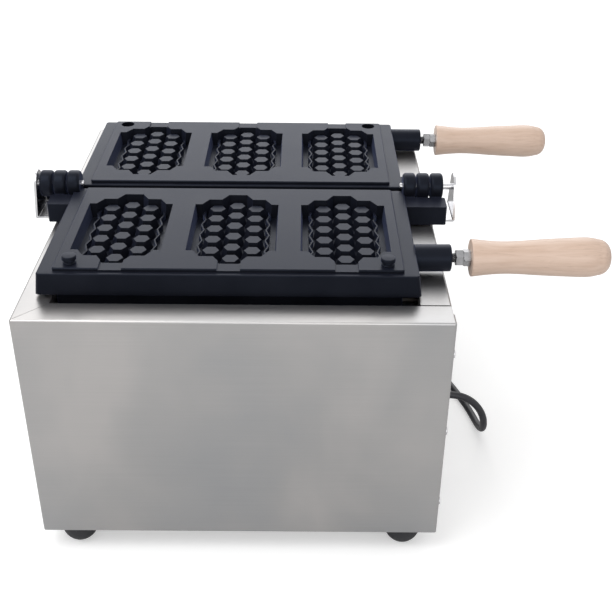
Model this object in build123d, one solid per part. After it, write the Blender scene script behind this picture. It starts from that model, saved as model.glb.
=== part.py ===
from build123d import *
import math
import os

# Flip-over waffle maker on a folded steel body.
# Millimetres, X to the handle side, Y away from the cook, Z up from the table.
# Pieces are drawn about the middle of the body and moved when they are saved.

# Driving sizes of the body
BODY_W = 360.0
BODY_D = 418.0
BODY_H = 226.5
FOOT_H = 22.0
SHEET = 1.0
BEND_R = 2.0
FLANGE = 27.0
LIP = 8.0
TOP = FOOT_H + BODY_H
FRONT = -BODY_D / 2
SIDE = BODY_W / 2

# Driving sizes of the moulds, measured from the hinge axis and the land face
MOULD_X = -5.9
LAND_Z = TOP + 25.4
AXIS_Z = LAND_Z + 0.2
FRAME_HALF = 158.0
FRAME_IN = 4.0
FRAME_OUT = 173.0
FRAME_TOP = -3.0
FRAME_BOTTOM = -22.4
FRAME_FLARE = 2.6
LAND_HALF = 145.6
LAND_IN = 8.2
LAND_OUT = 168.0
SKIRT_BOTTOM = -42.0
SKIRT_INSET = 12.0
SKIRT_WALL = 6.0

# The honeycomb cells of a cavity
CELL = 20.6
CELL_COLUMN = CELL * math.sqrt(3) / 2
CELL_SIDE = CELL / math.sqrt(3)
CELL_MARGIN = 4.3
CAVITY_PITCH = 98.0
CAVITY_HALF = 38.5
CAVITY_OUT = 89.6
CAVITY_DEPTH = 13.5
CAVITY_DRAFT = 6.0
BUMP_TOP = 4.3
BUMP_FLATS = 12.5
BUMP_DRAFT = 14.0
SIDE_PEG_SHIFT = 4.2
RIDGE_W = 1.4
RIDGE_X = 29.5
RIDGE_SWING = 1.5
RIDGE_TOP = 8.5
NOTCH_W = 19.5
NOTCH_DEPTH = 1.6

# Hinge rings, lugs and brackets
PIN_R = 3.0
PIN_PLAY = 0.06
RING_R = 12.7
RING_W = 12.0
RING_GAP = 1.1
RING_START = 157.2
RING_ROUND = 3.0
RING_PLAY = 0.6
LEFT_SHIFT = 4.2
LUG_IN = 13.4
LUG_OUT = 35.0
LUG_TOP = -5.6
LUG_BOTTOM = -23.9
LUG_SPARE = 1.5
EAR_OUT = 201.3
EAR_T = 2.0
EAR_W = 42.0
EAR_R = 13.0
FOOT_PLATE_H = 40.0

# Handles
BOSS_R = 11.8
BOSS_END = 189.4
FRONT_BOSS = 124.6
FRONT_BOSS_Z = -11.4
FRONT_TILT = 0.8
REAR_BOSS = 152.0
REAR_BOSS_Z = -13.1
ROD_R = 4.0
NUT_FLATS = 13.0
NUT_T = 6.5
NUT_START = 4.0
HANDLE_START = 206.4
HANDLE_L = 120.0
HANDLE_BORE = 70.0

# Posts and their holes
POST_X = 132.2
POST_Y = 158.5
POST_STUD_R = 3.0
POST_HOLE_R = 7.0
POST_HOLE_DEPTH = 10.0

# The pieces inside the body
RAIL_T = 1.5
RAIL_W = 24.0
RAIL_TAB = 16.0
MIDDLE_RAIL_W = 40.0
HEATER_R = 4.0
HEATER_DROP = 13.0
HEATER_BEND = 15.0
HEATER_NEAR = 32.0
HEATER_RUN_HALF = 125.0
SHIELD_DROP = 30.0
SHIELD_T = 0.8
BASE_T = 1.0

# Controls on the handle side, as places on that panel
PANEL_IN = SIDE - SHEET
KNOB_Y = 62.0
KNOB_Z = 140.0
KNOB_R = 20.0
KNOB_H = 19.0
DIAL_R = 29.0
DIAL_T = 0.8
SHAFT_R = 3.0
LAMP_Z = 182.0
LAMP_R = 6.0
ROCKER_Y = 62.0
ROCKER_Z = 77.0

# Where the screws of the panel, the rails and the hinge brackets stand
SCREW_Y = 202.0
SCREW_HEIGHTS = (55.0, 135.0, 215.0)
SCREW_R = 2.0
BOLT_R = 2.5
BOLT_Y = 12.0
END_RAIL_Y = 161.0
RAIL_TOP = LAND_Z + SKIRT_BOTTOM
RAIL_SCREW_Z = RAIL_TOP - RAIL_TAB / 2 - 1

# The mains cord
CORD_R = 3.7
CORD_Y = -66.0
CORD_Z = 74.0
BOOT_END = 20.0
COIL_PITCH = 8.3
COIL_R = 48.0
COIL_LAYER = 8.0
COIL_LEAD_IN = 8.0
COIL_TAIL = 26.0
PLUG_HALF = 11.6

# The middle of the whole object, handles included, lies this far right of the body's
HANDLE_END = MOULD_X + HANDLE_START + HANDLE_L
CENTRE_X = (HANDLE_END - EAR_OUT) / 2


def save(name, shape):
    """Writes one piece, moved so that the origin is below the object's middle."""
    moved = Pos(-CENTRE_X, 0, 0) * shape
    export_step(moved, f"parts/{name}.step")


def block(x0, x1, y0, y1, z0, z1):
    """A box from its low to its high corner."""
    return Pos((x0 + x1) / 2, (y0 + y1) / 2, (z0 + z1) / 2) * Box(x1 - x0, y1 - y0, z1 - z0)


def rod_x(x0, x1, y, z, r):
    """A round bar along X."""
    return Pos((x0 + x1) / 2, y, z) * Rot(0, 90, 0) * Cylinder(r, abs(x1 - x0))


def rod_z(x, y, z0, z1, r):
    """A round bar along Z."""
    return Pos(x, y, (z0 + z1) / 2) * Cylinder(r, z1 - z0)


def upright_edges(shape):
    """The vertical edges of a shape."""
    return shape.edges().filter_by(Axis.Z)


# Folded steel body


def body_wrap():
    """Front, left and rear walls from one sheet, with mitred top flanges and a bottom rim."""
    outer = block(-SIDE, SIDE, FRONT, -FRONT, FOOT_H, TOP)
    outer = fillet(upright_edges(outer), BEND_R)
    outer = fillet(outer.faces().sort_by(Axis.Z)[-1].edges(), BEND_R)
    inner = block(-SIDE + SHEET, SIDE - SHEET, FRONT + SHEET, -FRONT - SHEET, FOOT_H + SHEET, TOP - SHEET)
    inner = fillet(upright_edges(inner), BEND_R - SHEET)
    shell = outer - inner
    well_x = SIDE - FLANGE
    well_y = -FRONT - FLANGE
    lips = block(-well_x - SHEET, SIDE - SHEET, -well_y - SHEET, well_y + SHEET, TOP - LIP, TOP - SHEET)
    shell += lips
    well = block(-well_x, SIDE + 1, -well_y, well_y, TOP - LIP - 1, TOP + 1)
    bottom = block(-SIDE + 18, SIDE + 1, FRONT + 38, -FRONT - 38, FOOT_H - 1, FOOT_H + SHEET + 0.5)
    window = block(SIDE - SHEET - 1, SIDE + 1, FRONT + 15, -FRONT - 15, FOOT_H - 1, TOP + 1)
    shell -= [well, bottom, window]
    for end in (-1, 1):
        seam = Pos(-SIDE, end * BODY_D / 2, TOP) * Rot(0, 0, -end * 45)
        shell -= seam * Box(2 * (FLANGE - 2) * math.sqrt(2), 0.4, 2.2 * SHEET)
    for x in (-1, 1):
        for y in (-1, 1):
            shell -= rod_z(x * 150.2, y * 191, FOOT_H - 1, FOOT_H + 3, 2.6)
    for z in SCREW_HEIGHTS:
        for y in (-1, 1):
            shell -= rod_x(SIDE - 3, SIDE + 1, y * SCREW_Y, z, SCREW_R + 0.1)
    for y in (-BOLT_Y, BOLT_Y):
        shell -= rod_x(-SIDE - 1, -SIDE + 3, y, RAIL_SCREW_Z, BOLT_R + 0.1)
    for y in (-END_RAIL_Y, END_RAIL_Y):
        shell -= rod_x(-SIDE - 1, -SIDE + 3, y, RAIL_SCREW_Z, SCREW_R + 0.1)
    return shell


def control_panel():
    """Right wall, set one sheet inside the body's edges, with its own top and bottom flange."""
    half = -FRONT - SHEET - 1.2
    flange_half = -FRONT - FLANGE - SHEET - 0.6
    top_in = SIDE - FLANGE
    wall = block(PANEL_IN - SHEET, PANEL_IN, -half, half, FOOT_H + SHEET + BASE_T, TOP - SHEET - 0.2)
    upper = block(top_in, PANEL_IN, -flange_half, flange_half, TOP - LIP, TOP)
    upper = fillet(upper.edges().filter_by(Axis.Y).group_by(Axis.X)[-1].sort_by(Axis.Z)[-1:], BEND_R)
    hollow = block(top_in + SHEET, PANEL_IN - SHEET, -flange_half - 1, flange_half + 1, TOP - LIP - 1, TOP - SHEET)
    foot = block(PANEL_IN - 15, PANEL_IN, -half + 38, half - 38, FOOT_H + SHEET + BASE_T, FOOT_H + 2 * SHEET + BASE_T)
    panel = wall + (upper - hollow) + foot
    holes = [rod_x(PANEL_IN - 3, PANEL_IN + 3, y, KNOB_Z, SHAFT_R + 2) for y in (-KNOB_Y, KNOB_Y)]
    holes += [rod_x(PANEL_IN - 3, PANEL_IN + 3, y, LAMP_Z, LAMP_R) for y in (-KNOB_Y, KNOB_Y)]
    holes.append(rod_x(PANEL_IN - 3, PANEL_IN + 3, CORD_Y, CORD_Z, 8.0))
    holes.append(block(PANEL_IN - 3, PANEL_IN + 3, ROCKER_Y - 11, ROCKER_Y + 11, ROCKER_Z - 14, ROCKER_Z + 14))
    for z in SCREW_HEIGHTS:
        holes += [rod_x(PANEL_IN - 3, PANEL_IN + 3, y, z, SCREW_R) for y in (-SCREW_Y, SCREW_Y)]
    for y in (-BOLT_Y, BOLT_Y):
        holes.append(rod_x(PANEL_IN - 3, PANEL_IN + 3, y, RAIL_SCREW_Z, BOLT_R + 0.1))
    for y in (-END_RAIL_Y, END_RAIL_Y):
        holes.append(rod_x(PANEL_IN - 3, PANEL_IN + 3, y, RAIL_SCREW_Z, SCREW_R + 0.1))
    return panel - holes


def base_plate():
    """Bottom sheet that lies on the body's rim, with two rows of air slots."""
    low = FOOT_H + SHEET
    plate = block(-SIDE + SHEET + 0.3, PANEL_IN - 0.3, FRONT + SHEET + 0.3, -FRONT - SHEET - 0.3, low, low + BASE_T)
    plate = fillet(upright_edges(plate), 3)
    slot = extrude(SlotOverall(60, 5), 4 * BASE_T)
    for x in (-75, 60):
        for i in range(7):
            plate -= Pos(x, (i - 3) * 22, low - 1.5) * slot
    for x in (-1, 1):
        for y in (-1, 1):
            plate -= rod_z(x * 150.2, y * 191, low - 1, low + 3, 2.6)
    return plate


def pan_screw(r, head_r, length):
    """A screw along -Z with a low domed head that stands on z = 0."""
    height = head_r * 0.4
    head = Pos(0, 0, height / 2) * Cylinder(head_r, height)
    head = fillet(head.edges().sort_by(Axis.Z)[-1:], height * 0.6)
    cross = Pos(0, 0, height) * (Box(head_r * 1.1, head_r * 0.25, height) + Box(head_r * 0.25, head_r * 1.1, height))
    shank = Pos(0, 0, -length / 2) * Cylinder(r, length)
    return head + shank - cross


def hex_nut(flats, thick, hole_r):
    """A nut standing on z = 0, its corners turned off at both ends."""
    body = extrude(RegularPolygon(flats / 2, 6, major_radius=False), thick)
    across = flats / math.sqrt(3)
    turned = Pos(0, 0, thick / 2) * Cylinder(across * 1.001, thick)
    turned = chamfer(turned.edges().filter_by(GeomType.CIRCLE), thick * 0.09, across * 0.15)
    return (body & turned) - Pos(0, 0, thick / 2) * Cylinder(hole_r, thick * 2)


def feet():
    """Four domed rubber feet, hollow for their screws."""
    with BuildSketch(Plane.XZ) as outline:
        with BuildLine():
            top = Line((0, FOOT_H), (17.0, FOOT_H))
            side = Line(top @ 1, (17.0, FOOT_H - 4.0))
            dome = ThreePointArc(side @ 1, (13.6, 6.2), (6.5, 0))
            low = Line(dome @ 1, (4.6, 0))
            well = Polyline(low @ 1, (4.6, 12.0), (2.2, 12.0), (2.2, FOOT_H - 0.01), (0, FOOT_H))
        make_face()
    foot = revolve(outline.sketch, Axis.Z) - rod_z(0, 0, -1, FOOT_H + 1, 2.5)
    return Compound([Pos(x * 150.2, y * 191, 0) * foot for x in (-1, 1) for y in (-1, 1)])


def foot_screws():
    """Four screws up through the feet, each with its nut on the base plate."""
    seat = FOOT_H + SHEET + BASE_T
    screw = Pos(0, 0, 12.0) * Rot(180, 0, 0) * pan_screw(2.4, 4.4, 20.0)
    nut = Pos(0, 0, seat) * hex_nut(8.0, 4.0, 2.4)
    one = screw + nut
    return Compound([Pos(x * 150.2, y * 191, 0) * one for x in (-1, 1) for y in (-1, 1)])


def panel_screws():
    """Six screws that hold the right wall behind the body's folded edges."""
    screw = Rot(0, 90, 0) * pan_screw(SCREW_R, 3.8, 7.0)
    return Compound([Pos(SIDE, y * SCREW_Y, z) * screw for z in SCREW_HEIGHTS for y in (-1, 1)])


# Rails, heaters and heat shield


def rail(y, width):
    """An upturned channel across the body, with a tab down each side wall."""
    left = -SIDE + SHEET
    right = PANEL_IN - SHEET
    z = RAIL_TOP
    top = block(left, right, y - width / 2, y + width / 2, z - RAIL_T, z)
    tabs = block(left, left + RAIL_T, y - width / 2, y + width / 2, z - RAIL_TAB, z)
    tabs += block(right - RAIL_T, right, y - width / 2, y + width / 2, z - RAIL_TAB, z)
    webs = block(left + 8, right - 8, y - width / 2, y - width / 2 + RAIL_T, z - 7, z)
    webs += block(left + 8, right - 8, y + width / 2 - RAIL_T, y + width / 2, z - 7, z)
    if y == 0:
        drills = [rod_x(left - 1, right + 1, side * BOLT_Y, RAIL_SCREW_Z, BOLT_R) for side in (-1, 1)]
    else:
        drills = [rod_x(left - 1, right + 1, y, RAIL_SCREW_Z, SCREW_R)]
    return top + tabs + webs - drills


def support_rails():
    """Three rails under the skirts of the moulds: near, middle and far."""
    return Compound([rail(-END_RAIL_Y, RAIL_W), rail(0, MIDDLE_RAIL_W), rail(END_RAIL_Y, RAIL_W)])


def rail_screws():
    """A screw through each side wall into the ends of the near and far rails."""
    left = Rot(0, -90, 0) * pan_screw(SCREW_R, 3.6, 5.0)
    right = Rot(0, 90, 0) * pan_screw(SCREW_R, 3.6, 5.0)
    screws = []
    for y in (-END_RAIL_Y, END_RAIL_Y):
        screws += [Pos(-SIDE, y, RAIL_SCREW_Z) * left, Pos(PANEL_IN, y, RAIL_SCREW_Z) * right]
    return Compound(screws)


def heater(side):
    """A tube heater bent into three hairpins below one mould, its ends at the right wall."""
    z = RAIL_TOP - HEATER_DROP
    step = 2 * HEATER_BEND
    near = side * HEATER_NEAR
    end_x = PANEL_IN - 24
    points = [Vector(end_x, near, z)]
    for row in range(4):
        y = near + side * row * step
        first = -HEATER_RUN_HALF if row % 2 == 0 else HEATER_RUN_HALF
        if row > 0:
            points.append(Vector(-first, y, z))
        if row < 3:
            points.append(Vector(first, y, z))
    points.append(Vector(end_x, near + side * 3 * step, z))
    path = FilletPolyline(points, radius=HEATER_BEND - 0.5)
    tube = sweep(Plane(points[0], z_dir=Vector(-1, 0, 0)) * Circle(HEATER_R), path)
    tips = rod_x(end_x, end_x + 14, near, z, 1.8)
    tips += rod_x(end_x, end_x + 14, near + side * 3 * step, z, 1.8)
    return tube + tips


def heater_clips():
    """Strips hung across the heaters from the shield, with a saddle at each tube."""
    z = RAIL_TOP - HEATER_DROP
    clips = []
    for side in (-1, 1):
        rows = [side * (HEATER_NEAR + row * 2 * HEATER_BEND) for row in range(4)]
        low, high = min(rows) - 10, max(rows) + 10
        for x in (-90, 90):
            strip = block(x - 6, x + 6, low, high, z - HEATER_R - 1.5, z - HEATER_R + 1.5)
            legs = block(x - 6, x + 6, low, low + 1.5, shield_floor() + SHIELD_T, z - HEATER_R + 1.5)
            legs += block(x - 6, x + 6, high - 1.5, high, shield_floor() + SHIELD_T, z - HEATER_R + 1.5)
            saddles = [rod_x(x - 8, x + 8, y, z, HEATER_R) for y in rows]
            clips.append(strip + legs - saddles)
    return Compound(clips)


def shield_floor():
    """The height of the heat shield's lower face."""
    return RAIL_TOP - SHIELD_DROP


def heat_shield():
    """A folded tray that keeps the heat of the tubes off the wiring."""
    z = shield_floor()
    x_half = SIDE - SHEET - 8
    y_half = -FRONT - SHEET - 8
    outer = block(-x_half, x_half - 12, -y_half, y_half, z, RAIL_TOP - RAIL_TAB - 2)
    outer = fillet(upright_edges(outer), 4)
    inner = block(-x_half + SHIELD_T, x_half - 12 - SHIELD_T, -y_half + SHIELD_T, y_half - SHIELD_T,
                  z + SHIELD_T, TOP)
    inner = fillet(upright_edges(inner), 3.2)
    tray = outer - inner
    left = -SIDE + SHEET
    right = PANEL_IN - SHEET
    for y in (-75, 75):
        tray += block(left, -x_half + 1, y - 20, y + 20, z, z + SHIELD_T)
        tray += block(left, left + SHIELD_T, y - 20, y + 20, z - 12, z + SHIELD_T)
        tray += block(x_half - 13, right, y - 20, y + 20, z, z + SHIELD_T)
        tray += block(right - SHIELD_T, right, y - 20, y + 20, z - 12, z + SHIELD_T)
    return tray


# Cast moulds


def bump():
    """One hexagonal peg of the honeycomb, standing on z = 0."""
    height = CAVITY_DEPTH - BUMP_TOP
    foot_flats = BUMP_FLATS + 2 * height * math.tan(math.radians(BUMP_DRAFT))
    low = RegularPolygon(foot_flats / 2, 6, major_radius=False)
    high = Pos(0, 0, height) * RegularPolygon(BUMP_FLATS / 2, 6, major_radius=False)
    return loft([low, high], ruled=True)


def bump_places(shift):
    """Peg centres of one cavity: a middle column of six between two of five."""
    places = [(0, (row - 2.5) * CELL) for row in range(6)]
    for side in (-1, 1):
        places += [(side * CELL_COLUMN, (row - 2) * CELL + shift) for row in range(5)]
    return places


def cavity_outline(inset):
    """The stepped edge of a cavity, which follows the honeycomb cells."""
    margin = CELL_MARGIN - inset
    step_x = CELL_SIDE / 2 + margin * math.tan(math.radians(30))
    quarter = []
    for column in range(2):
        start = column * CELL_COLUMN + step_x
        quarter.append((start, (6 - column) / 2 * CELL + margin))
        quarter.append((start + CELL_SIDE / 2, (5 - column) / 2 * CELL + margin))
    quarter.append((CAVITY_HALF - inset, 2 * CELL + margin))
    right = quarter + [(x, -y) for x, y in reversed(quarter)]
    points = right + [(-x, -y) for x, y in right]
    return make_face(Polyline(points, close=True))


def ridge(side):
    """The thin zigzag wall beside an outer column of pegs."""
    points = []
    for half in range(-4, 5):
        out = RIDGE_X + (RIDGE_SWING if half % 2 == 0 else -RIDGE_SWING)
        points.append((side * out, half * CELL / 2))
    ends = 2 * CELL + CELL_MARGIN + 2
    points = [(side * RIDGE_X, -ends)] + points + [(side * RIDGE_X, ends)]
    loop = [(x + RIDGE_W / 2, y) for x, y in points]
    loop += [(x - RIDGE_W / 2, y) for x, y in reversed(points)]
    return extrude(make_face(Polyline(loop, close=True)), CAVITY_DEPTH - RIDGE_TOP)


def cavity(shift):
    """The room that one waffle fills, with its open face at z = 0."""
    inset = CAVITY_DEPTH * math.tan(math.radians(CAVITY_DRAFT))
    low = Pos(0, 0, -CAVITY_DEPTH) * cavity_outline(inset)
    room = loft([low, cavity_outline(0)], ruled=True)
    room += extrude(cavity_outline(0), 1)
    peg = bump()
    room -= [Pos(x, y, -CAVITY_DEPTH) * peg for x, y in bump_places(shift)]
    room -= [Pos(0, 0, -CAVITY_DEPTH) * ridge(side) for side in (-1, 1)]
    return room


def ring_span(index, shift):
    """Where a hinge ring starts and ends, counted outwards from the middle of the plates."""
    start = RING_START - shift + index * (RING_W + RING_GAP)
    return start, start + RING_W


def hinge_lug(side, last, shift):
    """The flat lug that carries the rings on one side of a mould."""
    end = ring_span(last, shift)[1] + LUG_SPARE
    lug = block(FRAME_HALF - 2, end, LUG_IN, LUG_OUT, LUG_BOTTOM, LUG_TOP)
    lug = fillet(lug.edges().filter_by(Axis.Z).group_by(Axis.X)[-1], 2)
    return lug if side > 0 else mirror(lug, Plane.YZ)


def hinge_rings(left):
    """The rings of a mould with their webs: two on one side and one on the other."""
    rings = []
    for side, index in ((-1, 0), (-1, 2), (1, 1)):
        low, high = ring_span(index, LEFT_SHIFT if side == left else 0)
        ring = rod_x(low, high, 0, AXIS_Z - LAND_Z, RING_R)
        ring = fillet(ring.edges().filter_by(GeomType.CIRCLE), RING_ROUND)
        ring += block(low + RING_ROUND / 2, high - RING_ROUND / 2, 0, LUG_IN, -RING_R + 0.3, LUG_TOP)
        ring -= rod_x(low - 1, high + 1, 0, AXIS_Z - LAND_Z, PIN_R + PIN_PLAY)
        rings.append(ring if side > 0 else mirror(ring, Plane.YZ))
    return Compound(rings)


def mould_back():
    """The skirt under a mould, with its cross ribs."""
    x_half = FRAME_HALF - SKIRT_INSET
    low = FRAME_IN + 6
    high = LAND_OUT - 2
    skirt = block(-x_half, x_half, low, high, SKIRT_BOTTOM, FRAME_BOTTOM + 1)
    skirt = fillet(upright_edges(skirt), 6)
    hollow = block(-x_half + SKIRT_WALL, x_half - SKIRT_WALL, low + SKIRT_WALL, high - SKIRT_WALL,
                   SKIRT_BOTTOM - 1, FRAME_BOTTOM)
    hollow = fillet(upright_edges(hollow), 4)
    skirt -= hollow
    for x in (-1, 1):
        skirt += block(x * CAVITY_PITCH / 2 - 2, x * CAVITY_PITCH / 2 + 2, low + 1, high - 1,
                       FRAME_BOTTOM - 12, FRAME_BOTTOM + 1)
    middle = (low + high) / 2
    skirt += block(-x_half + 1, x_half - 1, middle - 2, middle + 2, FRAME_BOTTOM - 12, FRAME_BOTTOM + 1)
    return skirt


def mould_frame(left):
    """The outer slab of a mould, a little wider below and cut away beside the hinge rings."""
    depth = FRAME_OUT - FRAME_IN
    middle = (FRAME_OUT + FRAME_IN) / 2
    top = Pos(0, middle, FRAME_TOP) * RectangleRounded(2 * FRAME_HALF, depth, 3)
    bottom = Pos(0, middle, FRAME_BOTTOM) * RectangleRounded(2 * (FRAME_HALF + FRAME_FLARE), depth, 3)
    frame = loft([bottom, top], ruled=True)
    frame = fillet(frame.faces().sort_by(Axis.Z)[-1].edges(), 1)
    for side in (-1, 1):
        start = ring_span(0, LEFT_SHIFT if side == left else 0)[0] - RING_PLAY
        relief = block(start, FRAME_HALF + 5, 0, LUG_IN, FRAME_BOTTOM - 1, 0)
        frame -= relief if side > 0 else mirror(relief, Plane.YZ)
    return frame


def mould(left, boss, rod):
    """A mould drawn behind the hinge axis, with its land face at z = 0."""
    land = block(-LAND_HALF, LAND_HALF, LAND_IN, LAND_OUT, FRAME_TOP - 1, 0)
    land = fillet(upright_edges(land), 2.5)
    land = chamfer(land.faces().sort_by(Axis.Z)[-1].edges(), 0.8)
    casting = mould_frame(left) + land + mould_back()
    casting += hinge_lug(-1, 2, LEFT_SHIFT if left < 0 else 0)
    casting += hinge_lug(1, 1, LEFT_SHIFT if left > 0 else 0)
    casting += boss
    casting -= rod
    room = cavity(-left * SIDE_PEG_SHIFT)
    for column in (-1, 0, 1):
        x = column * CAVITY_PITCH
        casting -= Pos(x, CAVITY_OUT, 0) * room
        notch_in = CAVITY_OUT + 3 * CELL + CELL_MARGIN - 2
        casting -= block(x - NOTCH_W / 2, x + NOTCH_W / 2, notch_in, LAND_OUT + 1, -NOTCH_DEPTH, 1)
    return casting


def front_place():
    """Turns a mould round to the cook's side of the hinge."""
    return Pos(MOULD_X, 0, LAND_Z) * Rot(0, 0, 180)


def rear_place():
    """Sets a mould on the far side of the hinge."""
    return Pos(MOULD_X, 0, LAND_Z)


def handle_boss():
    """The round boss on the side of a mould, with its foot at the mould's side wall."""
    boss = rod_x(FRAME_HALF - 0.2, BOSS_END, 0, 0, BOSS_R)
    return fillet(boss.faces().sort_by(Axis.X)[-1].edges(), 1.5)


def front_grip():
    """The line of the front handle, which points a little upwards."""
    turned = Pos(FRAME_HALF, 0, 0) * Rot(0, -FRONT_TILT, 0) * Pos(-FRAME_HALF, 0, 0)
    return Pos(MOULD_X, -FRONT_BOSS, LAND_Z + FRONT_BOSS_Z) * turned


def rear_grip():
    """The line of the rear handle."""
    return Pos(MOULD_X, REAR_BOSS, LAND_Z + REAR_BOSS_Z)


def front_mould():
    """The cook's side mould, which carries the two posts."""
    place = front_place()
    own = place.inverse() * front_grip()
    casting = mould(1, own * handle_boss(), own * handle_rod())
    for x in (-POST_X, POST_X):
        casting -= rod_z(x, POST_Y, -12, 1, POST_STUD_R)
    return place * casting


def rear_mould():
    """The far mould, with the two holes that the posts enter."""
    place = rear_place()
    own = place.inverse() * rear_grip()
    casting = mould(-1, own * handle_boss(), own * handle_rod())
    for x in (-POST_X, POST_X):
        casting -= rod_z(x, POST_Y, -POST_HOLE_DEPTH, 1, POST_HOLE_R)
    return place * casting


def locating_posts():
    """Two turned posts with a foot, a neck and a domed cap, and a stud below."""
    with BuildSketch(Plane.XZ) as outline:
        with BuildLine():
            stud = Polyline((0, -11.5), (POST_STUD_R, -11.5), (POST_STUD_R, 0), (5.7, 0), (5.7, 1.3), (4.9, 1.9))
            neck = Polyline(stud @ 1, (4.9, 3.0), (6.1, 3.7), (6.1, 6.2))
            cap = ThreePointArc(neck @ 1, (5.8, 6.9), (5.1, 7.2))
            Polyline(cap @ 1, (0, 7.5), (0, -11.5))
        make_face()
    post = revolve(outline.sketch, Axis.Z)
    return front_place() * Compound([Pos(x, POST_Y, 0) * post for x in (-POST_X, POST_X)])


# Handles


def handle_rod():
    """Threaded rod from the mould's boss into the wooden handle."""
    rod = rod_x(BOSS_END - 20, HANDLE_START + HANDLE_BORE - 4, 0, 0, ROD_R)
    return chamfer(rod.edges().filter_by(GeomType.CIRCLE), 0.8)


def handle_nuts():
    """Two lock nuts between the boss and the handle."""
    nut = Rot(0, 90, 0) * hex_nut(NUT_FLATS, NUT_T, ROD_R)
    turned = Rot(22, 0, 0) * nut
    first = BOSS_END + NUT_START
    return Compound([Pos(first, 0, 0) * nut, Pos(first + NUT_T, 0, 0) * turned])


def handle():
    """Turned beech handle with a waist, a belly and a flat rounded end."""
    with BuildSketch(Plane.XY) as outline:
        with BuildLine():
            edge = Line((0, 0), (0, 15.6))
            rim = ThreePointArc(edge @ 1, (0.3, 16.15), (0.9, 16.35))
            side = Spline((0.9, 16.35), (27.5, 14.1), (60, 15.6), (89, 17.0), (110, 15.6),
                          tangents=[(1, -0.12), (1, -0.3)])
            tip = ThreePointArc(side @ 1, (117.3, 12.3), (HANDLE_L, 7.5))
            end = Line(tip @ 1, (HANDLE_L, 0))
            Line(end @ 1, (0, 0))
        make_face()
    wood = revolve(outline.sketch, Axis.X)
    wood -= rod_x(-1, HANDLE_BORE, 0, 0, ROD_R)
    return Pos(HANDLE_START, 0, 0) * wood


# Hinge brackets and pins


def hinge_bracket(side):
    """Bent strip: a plate on the side wall, a shelf level with the body's top and an upright ear."""
    wall = PANEL_IN if side > 0 else SIDE
    ear_in = EAR_OUT - EAR_T
    path = [(wall, TOP - FOOT_PLATE_H), (wall, TOP), (EAR_OUT, TOP), (EAR_OUT, AXIS_Z + EAR_R)]
    plate = block(wall, wall + EAR_T, -EAR_W / 2, EAR_W / 2, path[0][1], TOP)
    shelf = block(wall, EAR_OUT, -EAR_W / 2, EAR_W / 2, TOP - EAR_T, TOP)
    strip = plate + shelf
    outside = strip.edges().filter_by(Axis.Y)
    strip = fillet(outside.filter_by(lambda e: e.center().X < wall + 0.1 and e.center().Z > TOP - 0.1), EAR_T)
    bend = strip.edges().filter_by(Axis.Y)
    strip = fillet(bend.filter_by(lambda e: e.center().X > EAR_OUT - 0.1 and e.center().Z < TOP - 1.9), EAR_T * 0.95)
    ear = Plane.YZ.offset(ear_in) * ear_outline()
    strip += extrude(ear, EAR_T)
    inner = strip.edges().filter_by(Axis.Y)
    strip = fillet(inner.filter_by(lambda e: abs(e.center().X - ear_in) < 0.1 and abs(e.center().Z - TOP) < 0.1), 1.5)
    strip -= rod_x(ear_in - 1, EAR_OUT + 1, 0, AXIS_Z, PIN_R)
    strip -= [rod_x(wall - 1, wall + EAR_T + 1, y, RAIL_SCREW_Z, BOLT_R) for y in (-BOLT_Y, BOLT_Y)]
    return strip if side > 0 else mirror(strip, Plane.YZ)


def ear_outline():
    """The ear seen along the pin: wide at the shelf and round at the top."""
    base_z = TOP - 0.1
    lean = math.degrees(math.atan2(EAR_W / 2 - EAR_R, AXIS_Z - base_z))
    touch = Vector(EAR_R * math.cos(math.radians(lean)), AXIS_Z + EAR_R * math.sin(math.radians(lean)))
    with BuildSketch() as outline:
        with BuildLine():
            right = Line((EAR_W / 2, base_z), (touch.X, touch.Y))
            arc = ThreePointArc(right @ 1, (0, AXIS_Z + EAR_R), (-touch.X, touch.Y))
            left = Line(arc @ 1, (-EAR_W / 2, base_z))
            Line(left @ 1, (EAR_W / 2, base_z))
        make_face()
    return outline.sketch


def hinge_pin(side):
    """Pin riveted flush in the ear, reaching through the three rings."""
    shift = LEFT_SHIFT if side < 0 else 0
    inner = side * MOULD_X + ring_span(0, shift)[0] - 3
    pin = rod_x(inner, EAR_OUT, 0, AXIS_Z, PIN_R)
    pin = chamfer(pin.edges().sort_by(Axis.X)[:1], 0.8)
    return pin if side > 0 else mirror(pin, Plane.YZ)


def bracket_screws():
    """Two screws with nuts through each hinge bracket and its side wall."""
    screws = []
    for side in (-1, 1):
        wall = PANEL_IN if side > 0 else SIDE
        screw = Rot(0, 90, 0) * pan_screw(BOLT_R, 4.5, 11.0)
        nut = Pos(-EAR_T - SHEET - RAIL_T - 4.0, 0, 0) * Rot(0, 90, 0) * hex_nut(8.0, 4.0, BOLT_R)
        for y in (-BOLT_Y, BOLT_Y):
            one = Pos(wall + EAR_T, y, RAIL_SCREW_Z) * (screw + nut)
            screws.append(one if side > 0 else mirror(one, Plane.YZ))
    return Compound(screws)


# Controls


def dial(y):
    """A flat ring behind a knob, on which its scale stands."""
    ring = rod_x(PANEL_IN, PANEL_IN + DIAL_T, y, KNOB_Z, DIAL_R)
    ring = chamfer(ring.faces().sort_by(Axis.X)[-1].edges(), 0.3)
    return ring - rod_x(PANEL_IN - 1, PANEL_IN + 2, y, KNOB_Z, SHAFT_R + 2)


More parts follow.
